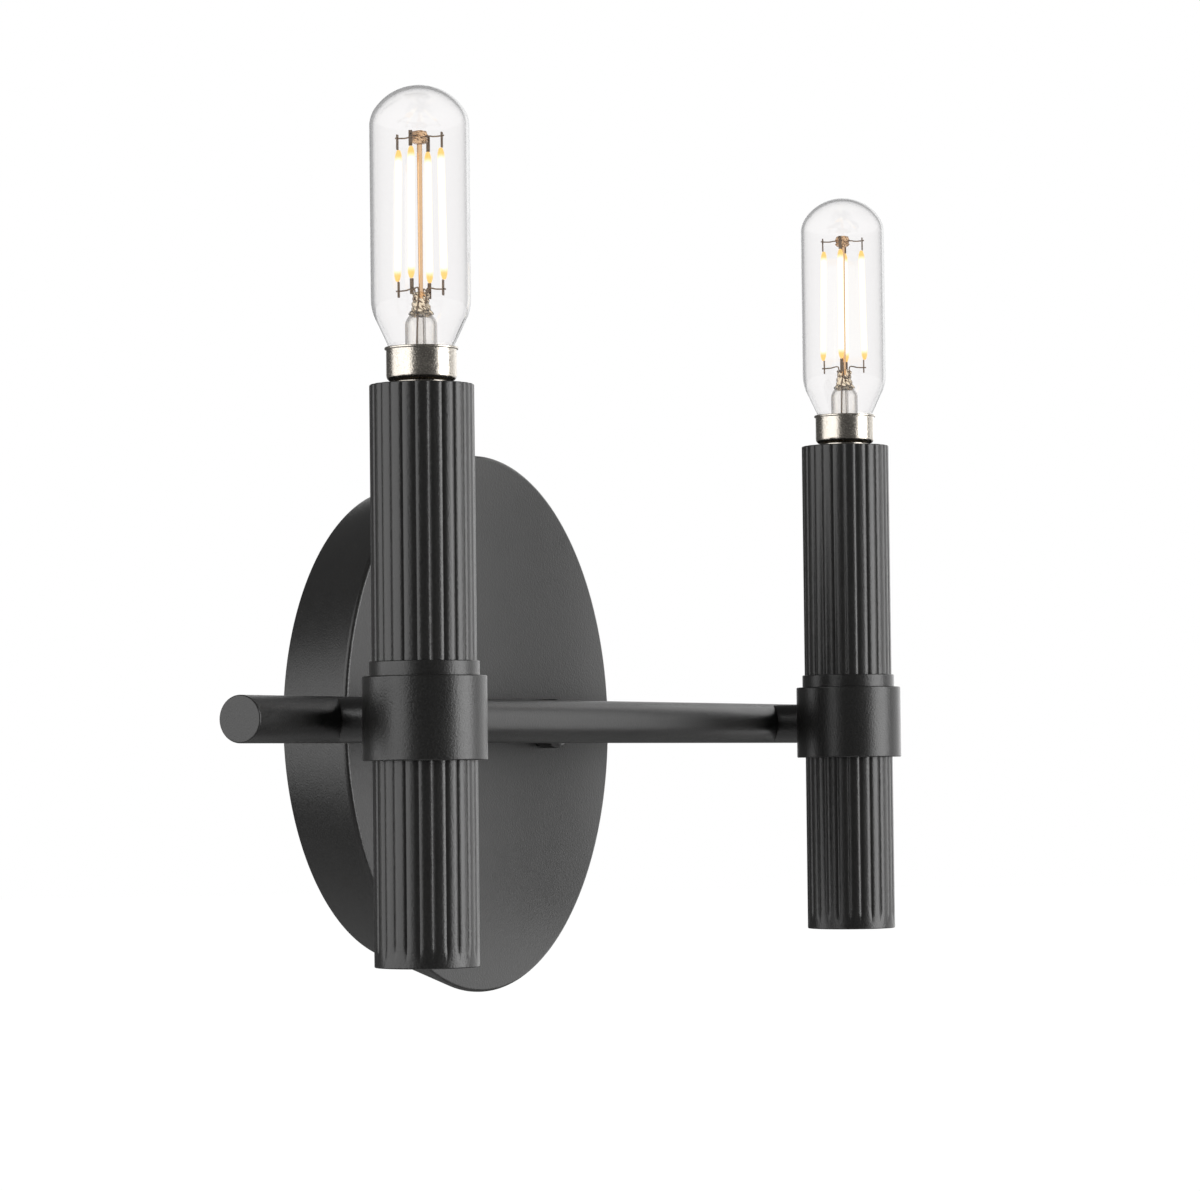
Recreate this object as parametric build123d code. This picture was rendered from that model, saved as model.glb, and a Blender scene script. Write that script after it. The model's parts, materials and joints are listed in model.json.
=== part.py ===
from build123d import *
from math import atan2, cos, degrees, radians, sin
import os

# A two-light wall fixture. Millimetres, +Z up. The wall is the plane y = 0, the light stands out
# towards -Y, and the origin is the centre of the wall screws. Left is -X, right is +X.

# Canopy: a flat round face with a side that narrows towards the wall
canopy_front_d = 127.0
canopy_back_d = 112.6
canopy_depth = 21.2
canopy_wall = 1.2
canopy_edge_band = 1.0
canopy_edge_r = 0.4

# Mounting strap, screwed to the wall box, and its studs
strap_end_clearance = 3.1
strap_width = 18.0
strap_thickness = 2.0
strap_corner_r = 4.0
strap_centre_hole_d = 10.5
box_screw_spacing = 88.9
box_slot_width = 4.4
box_slot_length = 10.0
stud_spacing = 57.0
stud_d = 4.1
stud_hole_clearance = 0.4
lock_nut_flats = 8.7
lock_nut_height = 3.3

# Ground screw in the strap
ground_screw_x = 16.0
ground_screw_d = 4.0
ground_head_d = 7.5
ground_head_height = 2.4
ground_slot_width = 1.0
ground_slot_depth = 1.0

# Cap nuts that hold the canopy, each on a thin washer
cap_nut_d = 12.0
cap_nut_height = 4.6
cap_nut_edge_r = 1.5
cap_nut_thread_length = 3.6
cap_nut_end_gap = 0.4
nut_washer_d = 10.0
nut_washer_thickness = 0.5
nut_washer_clearance = 0.25

# Stem from the canopy to the bar, held by a hollow threaded nipple
bar_standoff = 23.2
stem_d = 9.6
nipple_d = 8.0
nipple_bore_d = 5.5
nipple_grip = 8.0
nipple_spare = 1.5
stem_washer_d = 14.0
stem_washer_thickness = 0.8
stem_nut_flats = 12.0
stem_nut_height = 4.0

# Cross bar with closed ends, and the stubs that carry the lamps
bar_d = 10.0
bar_wall = 1.2
bar_overhang = 36.8
bar_cap_thickness = 1.0
bar_cap_spigot = 4.0
lamp_spacing = 215.2
lamp_reach = 22.6
stub_d = 9.5
stub_bore_d = 6.5

# Collar at the middle of each lamp: a wire chamber under a web, with a seat above and below
collar_d = 26.4
collar_height = 17.8
collar_edge_r = 0.3
chamber_d = 17.0
chamber_margin = 0.25
web_thickness = 2.0
ring_d = 23.3
ring_show = 3.1

# Reeded tubes
reed_count = 30
reed_crest_d = 22.25
reed_depth = 0.22
reed_wall = 1.1
upper_tube_length = 64.8
lower_tube_length = 48.7
plain_end_height = 1.8
reed_fade_height = 3.6
plain_end_inset = 0.03
lower_floor = 2.0
lower_edge_chamfer = 0.25
plug_height = 8.0

# Hollow rod along each lamp, and its nut on the collar's web
rod_d = 9.6
rod_bore_d = 6.8
rod_grip = 6.0
rod_port_d = 5.5
lamp_nut_flats = 14.0
lamp_nut_height = 4.0

# Candelabra socket
socket_inset = 1.5
socket_clearance = 0.4
socket_floor = 2.5
socket_rim = 0.6
socket_shell_wall = 0.4
socket_ledge = 1.7
contact_height = 3.4
contact_foot_d = 7.0
contact_foot_height = 0.8
contact_button_d = 4.0

# Bulb base: a plain skirt over the candelabra screw shell
skirt_gap = 0.7
skirt_d = 14.9
skirt_height = 7.2
skirt_edge_r = 1.2
skirt_lip_d = 15.6
skirt_lip_height = 0.5
base_shell_d = 11.6
base_shell_length = 12.0
base_wall = 0.4
insulator_nest = 1.2
insulator_height = 2.0
insulator_tip_d = 6.4
tip_d = 5.2
tip_height = 1.0
thread_clearance = 0.3
seat_gap = 0.05
driver_width = 9.0
driver_thickness = 1.0
driver_height = 12.0
driver_chip = (4.0, 1.4, 4.5)

# Bulb glass
bulb_d = 21.2
bulb_height = 55.6
dome_corner_r = 6.6
dome_rise = 2.1
glass_wall = 0.7
neck_rise = 0.3
neck_r = 3.0
shoulder_height = 8.0
shoulder_r = 11.0
neck_depth = 4.0

# Glass stem inside the bulb, with a thin rod that carries the filaments
flare_depth = 2.0
flare_thickness = 0.8
stem_glass_d = 6.9
stem_glass_wall = 0.7
stem_dome_base = 4.6
stem_dome_height = 3.2
stem_dome_r = 2.0
press_d = 3.8
press_top = 11.7
glass_rod_d = 1.1

# Filaments, their posts and wires
filament_count = 4
filament_ring_d = 10.1
filament_d = 1.3
filament_bottom = 14.1
filament_length = 28.0
post_width = 1.0
post_thickness = 0.3
post_length = 3.3
wire_d = 0.5
spider_hub_d = 3.2
spider_hub_height = 2.8
spider_drop = 2.3

# How far each bulb is turned about its own axis when it seats, in degrees
bulb_turns = {"left": 8.5, "right": 18.0}

# Fits that several pieces share
thread_gap = 0.05
press_gap = 0.05
braze_gap = 0.05

# Places worked out from the sizes above
strap_length = canopy_back_d - 2 * (canopy_wall + strap_end_clearance)
bar_y = -(canopy_depth + bar_standoff)
bar_length = lamp_spacing + 2 * bar_overhang
lamp_y = bar_y - lamp_reach
crest_r = reed_crest_d / 2
valley_r = crest_r - reed_depth
tube_bore_d = reed_crest_d - 2 * (reed_depth + reed_wall)
chamber_half = stub_bore_d / 2 + chamber_margin
seat_z = chamber_half + web_thickness
tube_top = seat_z + upper_tube_length
lower_top = -chamber_half
lower_bottom = lower_top - lower_tube_length
plug_bottom = lower_top - plug_height
skirt_bottom = tube_top + skirt_gap
skirt_top = skirt_bottom + skirt_height
shell_bottom = skirt_bottom - base_shell_length
insulator_bottom = shell_bottom - insulator_height
tip_bottom = insulator_bottom - tip_height
socket_top = tube_top - socket_inset
socket_pocket = tip_bottom - seat_gap - contact_height
socket_step = socket_pocket + socket_ledge
socket_bottom = socket_pocket - socket_floor - rod_grip
socket_d = tube_bore_d - 2 * socket_clearance
socket_shell_bore_d = base_shell_d + 2 * thread_clearance
socket_shell_d = socket_shell_bore_d + 2 * socket_shell_wall
nut_face_y = -(canopy_depth + nut_washer_thickness)


def turned(points, rounding=None):
    # A solid turned about Z from (radius, height) points; rounding maps a point's number to its radius
    radii = [(rounding or {}).get(number, 0) for number in range(len(points))]
    return revolve(Plane.XZ * make_face(FilletPolyline(*points, radius=radii, close=True)), Axis.Z)


def tube_z(outer_d, bore_d, low, high):
    ring = Circle(outer_d / 2) - Circle(bore_d / 2)
    return extrude(Plane.XY.offset(low) * ring, high - low)


def rod_z(diameter, low, high):
    return extrude(Plane.XY.offset(low) * Circle(diameter / 2), high - low)


def outwards(sketch, start_y, end_y):
    # A sketch seen from the front, extruded from start_y out to end_y
    return extrude(Plane.XZ.offset(-start_y) * sketch, start_y - end_y)


def rod_y(diameter, start_y, end_y, x=0.0):
    return outwards(Pos(x, 0) * Circle(diameter / 2), start_y, end_y)


def hex_ring(flats, bore_d):
    return RegularPolygon(flats / 2, 6, major_radius=False) - Circle(bore_d / 2)


def bar_cylinder(diameter, length):
    return Pos(0, bar_y, 0) * Rot(0, 90, 0) * Cylinder(diameter / 2, length)


def polar(radius, angle):
    return (radius * cos(radians(angle)), radius * sin(radians(angle)))


# Canopy and what holds it to the wall
def make_canopy():
    front_r = canopy_front_d / 2
    back_r = canopy_back_d / 2
    inner_front_r = front_r - canopy_wall
    inner_y = canopy_wall - canopy_depth
    outline = FilletPolyline(
        (0, -canopy_depth),
        (front_r, -canopy_depth),
        (front_r, canopy_edge_band - canopy_depth),
        (back_r, 0),
        radius=[canopy_edge_r, 0],
    )
    inside = Polyline(
        (back_r, 0),
        (back_r - canopy_wall, 0),
        (inner_front_r, inner_y),
        (0, inner_y),
        (0, -canopy_depth),
    )
    pan = revolve(make_face([outline, inside]), Axis.Y)
    pan -= rod_y(nipple_d + 2 * thread_gap, 0, -canopy_depth)
    for side in (-1, 1):
        hole_d = stud_d + 2 * stud_hole_clearance
        pan -= rod_y(hole_d, 0, -canopy_depth, side * stud_spacing / 2)
    return pan


def make_strap():
    plate = RectangleRounded(strap_length, strap_width, strap_corner_r)
    plate -= Circle(strap_centre_hole_d / 2)
    plate -= Pos(ground_screw_x, 0) * Circle(ground_screw_d / 2 + thread_gap)
    for side in (-1, 1):
        plate -= Pos(side * box_screw_spacing / 2, 0) * SlotOverall(box_slot_length, box_slot_width)
        plate -= Pos(side * stud_spacing / 2, 0) * Circle(stud_d / 2 + thread_gap)
    return outwards(plate, 0, -strap_thickness)


def make_studs():
    stud_end = nut_face_y - cap_nut_thread_length
    return [rod_y(stud_d, 0, stud_end, side * stud_spacing / 2) for side in (-1, 1)]


def make_lock_nuts():
    nut = hex_ring(lock_nut_flats, stud_d + 2 * thread_gap)
    nut_end = -(strap_thickness + lock_nut_height)
    return [outwards(Pos(side * stud_spacing / 2, 0) * nut, -strap_thickness, nut_end) for side in (-1, 1)]


def make_ground_screw():
    head_y = -(strap_thickness + ground_head_height)
    screw = rod_y(ground_screw_d, 0, -strap_thickness, ground_screw_x)
    screw += rod_y(ground_head_d, -strap_thickness, head_y, ground_screw_x)
    slot = Pos(ground_screw_x, 0) * Rectangle(ground_head_d + ground_slot_width, ground_slot_width)
    return screw - outwards(slot, head_y + ground_slot_depth, head_y)


def make_nut_washer(side):
    washer = Circle(nut_washer_d / 2) - Circle(stud_d / 2 + nut_washer_clearance)
    return outwards(Pos(side * stud_spacing / 2, 0) * washer, -canopy_depth, nut_face_y)


def make_cap_nut(side):
    x = side * stud_spacing / 2
    nut = rod_y(cap_nut_d, nut_face_y, nut_face_y - cap_nut_height, x)
    nut = fillet(nut.edges().group_by(Axis.Y)[0], cap_nut_edge_r)
    bore_end = nut_face_y - cap_nut_thread_length - cap_nut_end_gap
    return nut - rod_y(stud_d + 2 * thread_gap, nut_face_y, bore_end, x)


# Stem, bar and stubs
def make_stem():
    stem = rod_y(stem_d, -canopy_depth, bar_y)
    stem -= rod_y(nipple_bore_d, -canopy_depth, bar_y)
    stem -= rod_y(nipple_d + 2 * thread_gap, -canopy_depth, -canopy_depth - nipple_grip)
    return stem - bar_cylinder(bar_d + 2 * braze_gap, 2 * stem_d)


def stem_stack():
    # Washer, nut and nipple end inside the canopy, from its inner face towards the wall
    washer_front = canopy_wall - canopy_depth
    nut_front = washer_front + stem_washer_thickness
    nut_back = nut_front + stem_nut_height
    return washer_front, nut_front, nut_back, nut_back + nipple_spare


def make_nipple():
    nipple_back = stem_stack()[3]
    tube = Circle(nipple_d / 2) - Circle(nipple_bore_d / 2)
    return outwards(tube, nipple_back, -canopy_depth - nipple_grip)


def make_stem_washer():
    washer_front, nut_front = stem_stack()[:2]
    return outwards(Circle(stem_washer_d / 2) - Circle(nipple_d / 2 + thread_gap), nut_front, washer_front)


def make_stem_nut():
    nut_front, nut_back = stem_stack()[1:3]
    return outwards(hex_ring(stem_nut_flats, nipple_d + 2 * thread_gap), nut_back, nut_front)


def make_bar():
    tube_length = bar_length - 2 * bar_cap_thickness
    bar = bar_cylinder(bar_d, tube_length) - bar_cylinder(bar_d - 2 * bar_wall, tube_length)
    bar -= rod_y(nipple_bore_d, bar_y + bar_d, bar_y)
    for side in (-1, 1):
        bar -= rod_y(stub_bore_d, bar_y, bar_y - bar_d, side * lamp_spacing / 2)
    return bar


def make_bar_cap(side):
    tube_end = side * (bar_length / 2 - bar_cap_thickness)
    spigot_d = bar_d - 2 * bar_wall - 2 * press_gap
    disc_x = tube_end + side * bar_cap_thickness / 2
    spigot_x = tube_end - side * bar_cap_spigot / 2
    cap = Pos(disc_x, bar_y, 0) * Rot(0, 90, 0) * Cylinder(bar_d / 2, bar_cap_thickness)
    return cap + Pos(spigot_x, bar_y, 0) * Rot(0, 90, 0) * Cylinder(spigot_d / 2, bar_cap_spigot)


def make_stub():
    # Built at x = 0, coped to the bar at one end and to the collar at the other
    stub = rod_y(stub_d, bar_y, lamp_y) - rod_y(stub_bore_d, bar_y, lamp_y)
    stub -= bar_cylinder(bar_d + 2 * braze_gap, 2 * stub_d)
    return stub - Pos(0, lamp_y, 0) * Cylinder(collar_d / 2 + braze_gap, collar_height)


# One lamp about its own upright axis, heights measured from the bar
def make_collar():
    half = collar_height / 2
    sleeve = Cylinder(collar_d / 2, collar_height)
    sleeve = fillet(sleeve.edges(), collar_edge_r)
    sleeve -= rod_z(reed_crest_d + 2 * press_gap, -half, lower_top)
    sleeve -= rod_z(chamber_d, lower_top, chamber_half)
    sleeve -= rod_z(rod_d + 2 * thread_gap, chamber_half, seat_z)
    sleeve -= rod_z(ring_d + 2 * press_gap, seat_z, half)
    return sleeve - rod_y(stub_bore_d, collar_d / 2, 0)


def make_ring():
    return tube_z(ring_d, reed_crest_d + 2 * press_gap, seat_z, collar_height / 2 + ring_show)


def reeded_face():
    step = 360 / reed_count
    reeds = []
    for i in range(reed_count):
        start = polar(valley_r, i * step)
        crest = polar(crest_r, (i + 0.5) * step)
        end = polar(valley_r, (i + 1) * step)
        reeds.append(ThreePointArc(start, crest, end))
    return make_face(reeds)


def make_upper_tube():
    tube = extrude(Plane.XY.offset(seat_z) * reeded_face(), upper_tube_length)
    return tube - rod_z(tube_bore_d, seat_z, tube_top)


def make_lower_tube():
    # The reeds fade out where a cone cuts across them, just above a plain round end
    end_r = valley_r - plain_end_inset
    slope = (crest_r - end_r) / reed_fade_height
    clear_r = crest_r + reed_depth
    fade_bottom = lower_bottom + plain_end_height
    fade_top = fade_bottom + (clear_r - end_r) / slope
    envelope = turned([
        (0, lower_bottom),
        (end_r - lower_edge_chamfer, lower_bottom),
        (end_r, lower_bottom + lower_edge_chamfer),
        (end_r, fade_bottom),
        (clear_r, fade_top),
        (clear_r, lower_top),
        (0, lower_top),
    ])
    tube = extrude(Plane.XY.offset(lower_bottom) * reeded_face(), lower_tube_length) & envelope
    return tube - rod_z(tube_bore_d, lower_bottom + lower_floor, lower_top)


def make_tube_plug():
    return tube_z(tube_bore_d - 2 * press_gap, rod_d + 2 * thread_gap, plug_bottom, lower_top)


def make_lamp_nipple():
    rod = tube_z(rod_d, rod_bore_d, plug_bottom, socket_bottom + rod_grip)
    return rod - rod_y(rod_port_d, rod_d, 0)


def make_lamp_nut():
    nut = hex_ring(lamp_nut_flats, rod_d + 2 * thread_gap)
    return extrude(Plane.XY.offset(seat_z) * nut, lamp_nut_height)


def make_socket_body():
    cavity_d = socket_shell_d + 2 * press_gap
    body = rod_z(socket_d, socket_bottom, socket_top)
    body -= rod_z(rod_d + 2 * thread_gap, socket_bottom, socket_bottom + rod_grip)
    body -= rod_z(contact_button_d, socket_bottom + rod_grip, socket_pocket)
    body -= rod_z(socket_shell_bore_d - 2 * socket_shell_wall, socket_pocket, socket_step)
    return body - rod_z(cavity_d, socket_step, socket_top)


def make_socket_shell():
    return tube_z(socket_shell_d, socket_shell_bore_d, socket_step, socket_top - socket_rim)


def make_socket_contact():
    button_top = socket_pocket + contact_height
    foot_top = socket_pocket + contact_foot_height
    return rod_z(contact_foot_d, socket_pocket, foot_top) + rod_z(contact_button_d, foot_top, button_top)


# One bulb about the same axis
def make_bulb_base():
    skirt_r = skirt_d / 2
    shell_r = base_shell_d / 2
    lip_bottom = skirt_top - skirt_lip_height
    skirt_corner = 2
    inner_corner = 7
    outline = [
        (shell_r, shell_bottom),
        (shell_r, skirt_bottom),
        (skirt_r, skirt_bottom),
        (skirt_r, lip_bottom),
        (skirt_lip_d / 2, lip_bottom),
        (skirt_lip_d / 2, skirt_top),
        (skirt_r - base_wall, skirt_top),
        (skirt_r - base_wall, skirt_bottom + base_wall),
        (shell_r - base_wall, skirt_bottom + base_wall),
        (shell_r - base_wall, shell_bottom),
    ]
    return turned(outline, {skirt_corner: skirt_edge_r, inner_corner: skirt_edge_r - base_wall})


def make_bulb_insulator():
    nest_r = base_shell_d / 2 - base_wall - press_gap
    return turned([
        (0, insulator_bottom),
        (insulator_tip_d / 2, insulator_bottom),
        (nest_r, shell_bottom),
        (nest_r, shell_bottom + insulator_nest),
        (0, shell_bottom + insulator_nest),
    ])


def make_bulb_contact():
    tip = rod_z(tip_d, tip_bottom, insulator_bottom)
    return fillet(tip.edges().group_by(Axis.Z)[0], tip_height / 2)


def make_bulb_driver():
    # A small board standing on the insulator, with one packaged part on it
    board_bottom = shell_bottom + insulator_nest + seat_gap
    chip_width, chip_depth, chip_height = driver_chip
    board = Pos(0, 0, board_bottom + driver_height / 2) * Box(driver_width, driver_thickness, driver_height)
    chip_y = -(driver_thickness + chip_depth) / 2
    return board + Pos(0, chip_y, board_bottom + driver_height / 2) * Box(chip_width, chip_depth, chip_height)


def glass_form(inset):
    # Neck, shoulder, straight side and two-arc dome of the envelope, drawn in by the inset
    side_r = bulb_d / 2 - inset
    neck = skirt_d / 2 - base_wall - press_gap - inset
    foot = skirt_top - neck_depth
    corner_x = bulb_d / 2 - dome_corner_r
    crown_r = (corner_x**2 + 2 * dome_corner_r * dome_rise + dome_rise**2) / (2 * dome_rise)
    dome_base = skirt_top + bulb_height - dome_corner_r - dome_rise
    crown_z = skirt_top + bulb_height - crown_r
    bend = degrees(atan2(dome_base - crown_z, corner_x))
    side = FilletPolyline(
        (neck, foot),
        (neck, skirt_top + neck_rise),
        (side_r, skirt_top + shoulder_height),
        (side_r, dome_base),
        radius=[neck_r, shoulder_r],
    )
    corner = CenterArc((corner_x, dome_base), dome_corner_r - inset, 0, bend)
    crown = CenterArc((0, crown_z), crown_r - inset, bend, 90 - bend)
    core = Polyline(crown @ 1, (0, foot), (neck, foot))
    return revolve(Plane.XZ * make_face([side, corner, crown, core]), Axis.Z)


def make_bulb_glass():
    return glass_form(0) - glass_form(glass_wall)


def make_bulb_stem():
    # A flared foot sealed in the neck, a domed glass tube, the press above it and a thin rod
    flare_r = skirt_d / 2 - base_wall - 2 * press_gap - glass_wall
    stem_r = stem_glass_d / 2
    flare_bottom = skirt_top - flare_depth
    dome_base = skirt_top + stem_dome_base
    dome_top = dome_base + stem_dome_height
    rod_top = filament_top() + post_length - spider_drop
    shoulder = 4
    outline = [
        (stem_r - stem_glass_wall, flare_bottom),
        (flare_r, flare_bottom),
        (flare_r, flare_bottom + flare_thickness),
        (stem_r, flare_bottom + 2 * flare_thickness),
        (stem_r, dome_base),
        (press_d / 2, dome_top),
        (press_d / 2, skirt_top + press_top),
        (glass_rod_d / 2, skirt_top + press_top),
        (glass_rod_d / 2, rod_top),
        (0, rod_top),
        (0, dome_top - stem_glass_wall),
        (press_d / 2 - stem_glass_wall, dome_top - stem_glass_wall),
        (stem_r - stem_glass_wall, dome_base),
    ]
    return turned(outline, {shoulder: stem_dome_r})


def filament_top():
    return skirt_top + filament_bottom + filament_length


def round_ring(shape):
    step = 360 / filament_count
    return [Rot(0, 0, i * step) * shape for i in range(filament_count)]


def make_bulb_filaments():
    ring_r = filament_ring_d / 2
    low = skirt_top + filament_bottom
    return round_ring(Pos(ring_r, 0, 0) * rod_z(filament_d, low, filament_top()))


def wire(start, end):
    path = Line(start, end)
    return sweep(Plane(origin=start, z_dir=path % 0) * Circle(wire_d / 2), path)


def make_bulb_leads():
    # A spider on the rod's top carries the upper posts, and wires from the press carry the lower ones
    ring_r = filament_ring_d / 2
    low = skirt_top + filament_bottom
    hub_z = filament_top() + post_length - spider_drop
    post = Box(post_thickness, post_width, post_length)
    spider = rod_z(spider_hub_d, hub_z, hub_z + spider_hub_height)
    spoke_z = hub_z + spider_hub_height / 2
    for arm in round_ring(wire((0, 0, spoke_z), (ring_r, 0, spoke_z))):
        spider += arm
    for top_post in round_ring(Pos(ring_r, 0, filament_top() + post_length / 2) * post):
        spider += top_post
    foot_r = press_d / 2
    foot_z = skirt_top + press_top - wire_d
    lower = Pos(ring_r, 0, low - post_length / 2) * post
    lower += wire((foot_r, 0, foot_z), (ring_r, 0, low - post_length / 2))
    lower -= rod_z(press_d + 2 * press_gap, skirt_top, low)
    return [spider] + round_ring(lower)


fixture = {
    "canopy": make_canopy(),
    "mounting_strap": make_strap(),
    "canopy_studs": make_studs(),
    "stud_lock_nuts": make_lock_nuts(),
    "ground_screw": make_ground_screw(),
    "stem": make_stem(),
    "stem_nipple": make_nipple(),
    "stem_washer": make_stem_washer(),
    "stem_nut": make_stem_nut(),
    "cross_bar": make_bar(),
}
lamp = {
    "collar": make_collar(),
    "ring": make_ring(),
    "upper_tube": make_upper_tube(),
    "lower_tube": make_lower_tube(),
    "tube_plug": make_tube_plug(),
    "lamp_nipple": make_lamp_nipple(),
    "lamp_nut": make_lamp_nut(),
    "socket_body": make_socket_body(),
    "socket_shell": make_socket_shell(),
    "socket_contact": make_socket_contact(),
    "bulb_base": make_bulb_base(),
    "bulb_insulator": make_bulb_insulator(),
    "bulb_contact": make_bulb_contact(),
    "bulb_driver": make_bulb_driver(),
    "bulb_glass": make_bulb_glass(),
    "bulb_stem": make_bulb_stem(),
    "bulb_filaments": make_bulb_filaments(),
    "bulb_leads": make_bulb_leads(),
}


def as_list(shape):
    return shape if isinstance(shape, list) else [shape]


def save(name, shapes):
    solids = [solid for shape in shapes for solid in shape.solids()]
    shape = solids[0] if len(solids) == 1 else Compound(children=solids)
    shape.label = name
    export_step(shape, f"parts/{name}.step")


os.makedirs("parts", exist_ok=True)
for name, shape in fixture.items():
    save(name, as_list(shape))
for side, hand in ((-1, "left"), (1, "right")):
    save(f"{hand}_nut_washer", [make_nut_washer(side)])
    save(f"{hand}_cap_nut", [make_cap_nut(side)])
    save(f"{hand}_bar_cap", [make_bar_cap(side)])
    save(f"{hand}_stub", [Pos(side * lamp_spacing / 2, 0, 0) * make_stub()])
    for name, shape in lamp.items():
        turn = bulb_turns[hand] if name.startswith("bulb_") else 0
        place = Pos(side * lamp_spacing / 2, lamp_y, 0) * Rot(0, 0, turn)
        save(f"{hand}_{name}", [place * piece for piece in as_list(shape)])
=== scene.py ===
import bpy
import bmesh
import json
import math
from mathutils import Matrix, Vector


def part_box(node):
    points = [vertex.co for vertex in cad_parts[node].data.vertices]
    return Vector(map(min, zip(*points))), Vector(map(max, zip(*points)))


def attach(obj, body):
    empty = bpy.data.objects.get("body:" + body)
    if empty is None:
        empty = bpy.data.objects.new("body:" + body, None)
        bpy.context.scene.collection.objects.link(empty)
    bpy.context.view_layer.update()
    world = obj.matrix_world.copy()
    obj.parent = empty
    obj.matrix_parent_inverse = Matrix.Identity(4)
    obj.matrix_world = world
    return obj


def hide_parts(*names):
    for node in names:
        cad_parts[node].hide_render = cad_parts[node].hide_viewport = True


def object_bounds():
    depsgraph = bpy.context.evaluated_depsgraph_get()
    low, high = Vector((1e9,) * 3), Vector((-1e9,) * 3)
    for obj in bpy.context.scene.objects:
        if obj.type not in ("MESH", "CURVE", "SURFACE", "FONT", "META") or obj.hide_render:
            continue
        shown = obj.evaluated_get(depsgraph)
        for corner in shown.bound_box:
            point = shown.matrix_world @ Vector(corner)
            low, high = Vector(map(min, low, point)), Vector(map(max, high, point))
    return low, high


# Two-light wall fixture. Metres, wall at y = 0, light stands out towards -Y, +Z up.
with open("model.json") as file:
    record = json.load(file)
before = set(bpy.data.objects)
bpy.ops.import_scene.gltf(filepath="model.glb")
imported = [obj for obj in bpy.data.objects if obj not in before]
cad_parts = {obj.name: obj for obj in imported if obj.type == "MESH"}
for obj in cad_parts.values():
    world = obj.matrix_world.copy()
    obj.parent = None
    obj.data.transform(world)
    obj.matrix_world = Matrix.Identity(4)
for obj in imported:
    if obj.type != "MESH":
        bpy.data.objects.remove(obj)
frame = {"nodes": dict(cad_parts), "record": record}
cadLow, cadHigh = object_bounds()
nodes = frame["nodes"]
scene = bpy.context.scene
mm = 0.001
hands = ("left", "right")
outFromWall = Matrix.Rotation(math.pi / 2, 4, "X")  # turns a piece made along +Z so that it points to -Y
alongBar = Matrix.Rotation(math.pi / 2, 4, "Y")     # turns a piece made along +Z so that it points to +X
aboutFace = Matrix.Rotation(math.pi, 4, "Z")
print("frame loaded:", len(nodes), "nodes")


# Node helpers for shader and geometry trees

def addNode(tree, kind, **settings):
    node = tree.nodes.new(kind)
    for name, value in settings.items():
        setattr(node, name, value)
    return node


def feed(tree, socket, value):
    if isinstance(value, bpy.types.NodeSocket):
        tree.links.new(value, socket)
    else:
        socket.default_value = value


def calc(tree, operation, first, second=0.0, third=0.0):
    node = addNode(tree, "ShaderNodeMath", operation=operation)
    for socket, value in zip(node.inputs, (first, second, third)):
        feed(tree, socket, value)
    return node.outputs[0]


def spread(tree, value, low, high, toLow=0.0, toHigh=1.0, smooth=False):
    node = addNode(tree, "ShaderNodeMapRange", interpolation_type="SMOOTHSTEP" if smooth else "LINEAR")
    names = ("Value", "From Min", "From Max", "To Min", "To Max")
    for name, given in zip(names, (value, low, high, toLow, toHigh)):
        feed(tree, node.inputs[name], given)
    return node.outputs["Result"]


def blendColour(tree, factor, first, second):
    node = addNode(tree, "ShaderNodeMix", data_type="RGBA")
    feed(tree, node.inputs["Factor"], factor)
    feed(tree, node.inputs["A"], first)
    feed(tree, node.inputs["B"], second)
    return node.outputs["Result"]


def rgb(red, green, blue):
    return (red, green, blue, 1.0)


# Finishes

noiseDetail = dict(Grain=2.0, Mottle=3.0)
noiseSpan = (0.3, 0.7)  # the middle of the noise's range, which carries most of its tones


def fineGrainGroup():
    # fine grain and slow cloudy mottling, each of a given size
    group = bpy.data.node_groups.new("fineGrain", "ShaderNodeTree")
    for name in noiseDetail:
        group.interface.new_socket(f"{name} Size", in_out="INPUT", socket_type="NodeSocketFloat")
        group.interface.new_socket(name, in_out="OUTPUT", socket_type="NodeSocketFloat")
    given = addNode(group, "NodeGroupInput")
    result = addNode(group, "NodeGroupOutput")
    place = addNode(group, "ShaderNodeTexCoord")
    for name, detail in noiseDetail.items():
        noise = addNode(group, "ShaderNodeTexNoise")
        noise.inputs["Detail"].default_value = detail
        group.links.new(place.outputs["Object"], noise.inputs["Vector"])
        feed(group, noise.inputs["Scale"], calc(group, "DIVIDE", 1.0, given.outputs[f"{name} Size"]))
        group.links.new(noise.outputs["Fac"], result.inputs[name])
    return group


fineGrain = fineGrainGroup()


def blankMaterial(name):
    material = bpy.data.materials.new(name)
    material.use_nodes = True
    tree = material.node_tree
    shader = tree.nodes["Principled BSDF"]
    return material, tree, shader


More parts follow.
